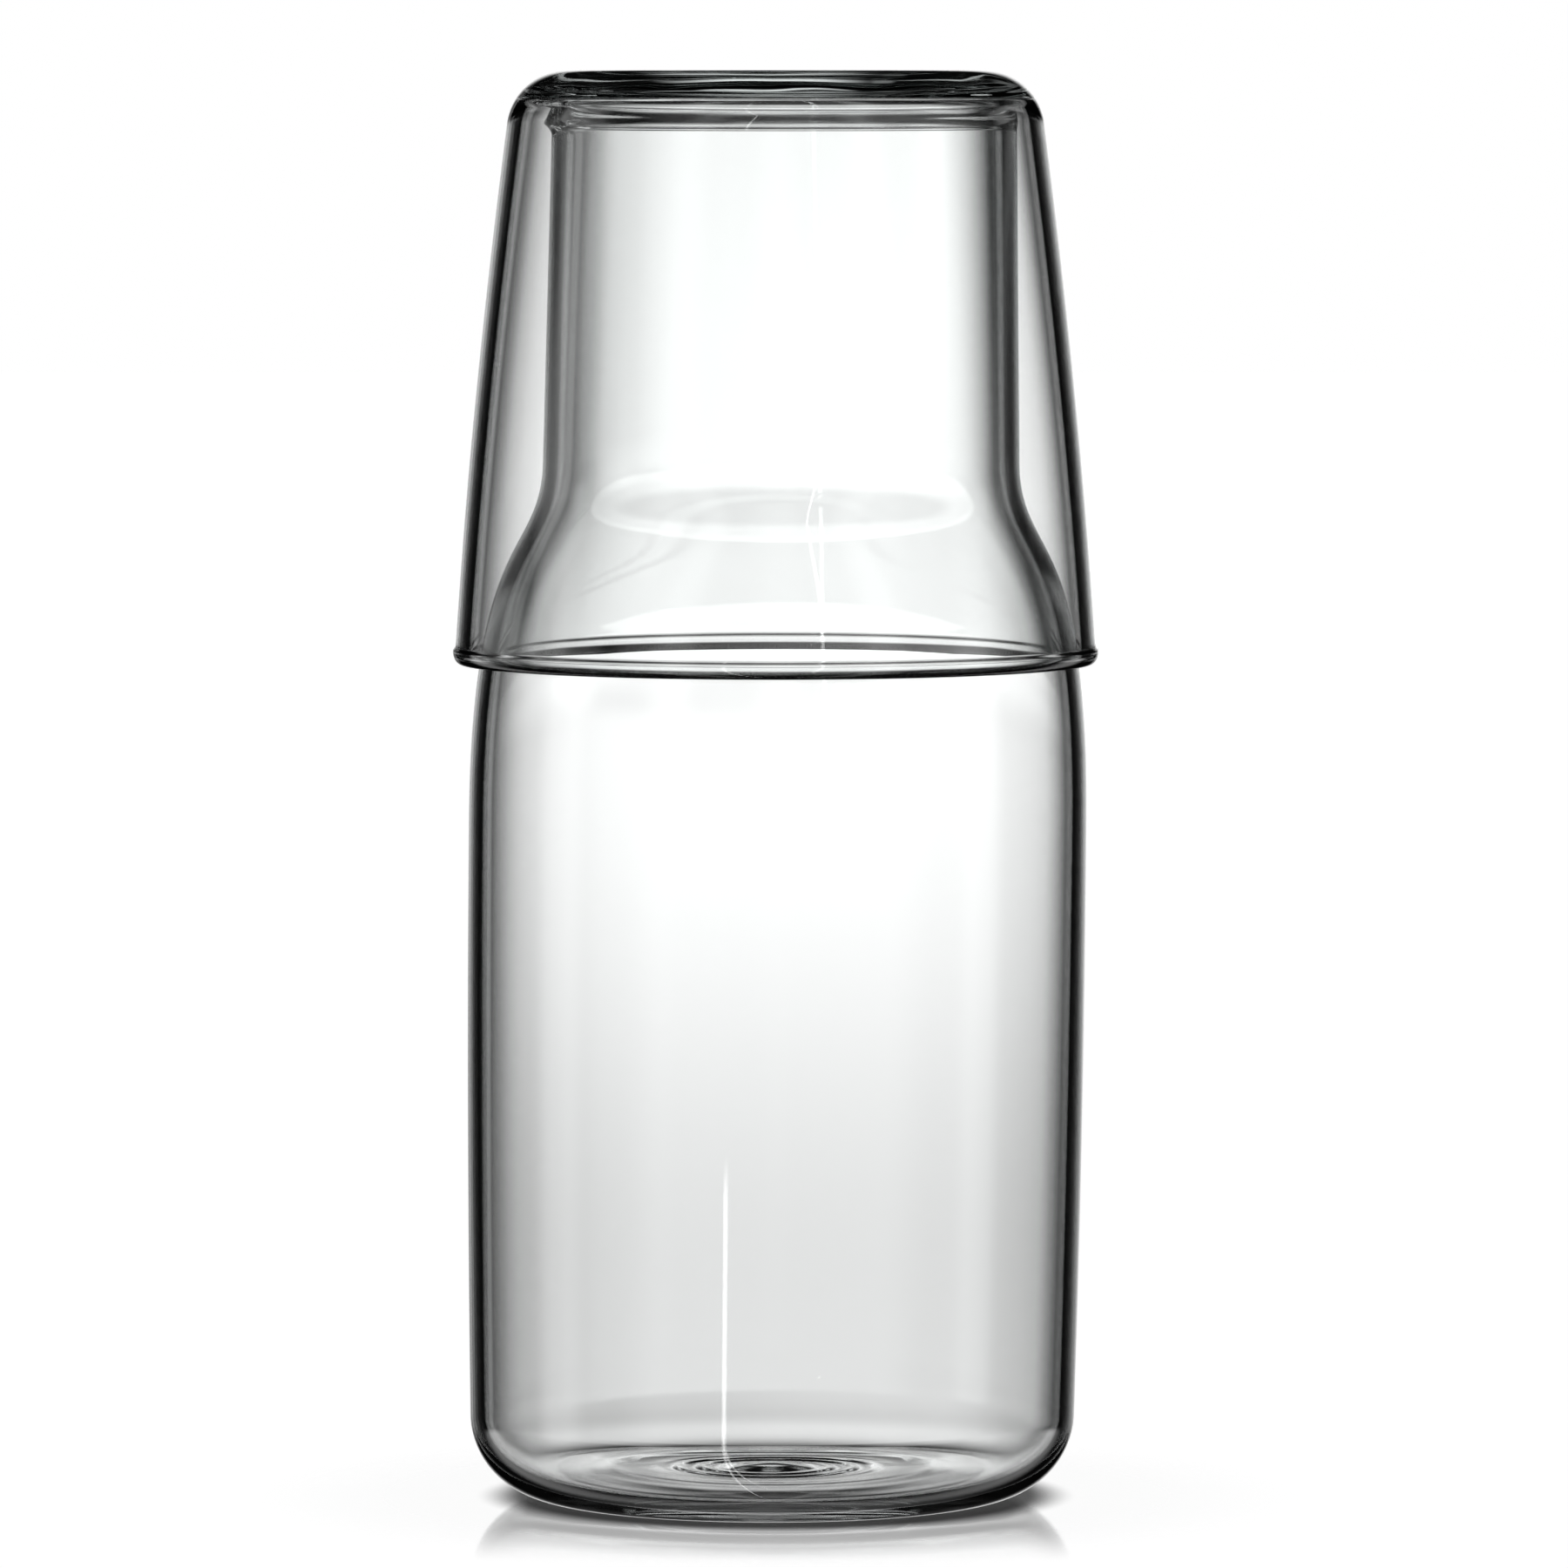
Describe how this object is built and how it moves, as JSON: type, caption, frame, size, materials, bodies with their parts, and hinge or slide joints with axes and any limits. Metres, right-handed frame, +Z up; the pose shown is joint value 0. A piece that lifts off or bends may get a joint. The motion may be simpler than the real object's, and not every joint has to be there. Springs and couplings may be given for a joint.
{
  "type": "glass carafe with tumbler",
  "caption": "Clear glass water carafe with a wide neck and small pour spout, and a flared tumbler that sits upside down over the neck as a lid and lifts off.",
  "frame": {"origin": "on the surface that the carafe stands on, under the tumbler's axis", "axes": "+Z up along the tumbler's axis, -X towards the pour spout, -Y towards the viewer of the picture"},
  "size_m": [0.0896, 0.0896, 0.198],
  "materials": {
    "carafe_glass": "clear colourless blown glass, smooth and glossy, with faint draw lines and turning marks in the floor",
    "tumbler_glass": "clear colourless blown glass, smooth and glossy, with a fire-polished rim"
  },
  "bodies": {
    "carafe": {"carafe": "carafe_glass"},
    "tumbler": {"tumbler": "tumbler_glass"}
  },
  "joints": [
    {"name": "tumbler_lift", "type": "slide", "parent": "carafe", "child": "tumbler", "axis": [0, 0, 1], "range_m": [0, 0.085]}
  ]
}
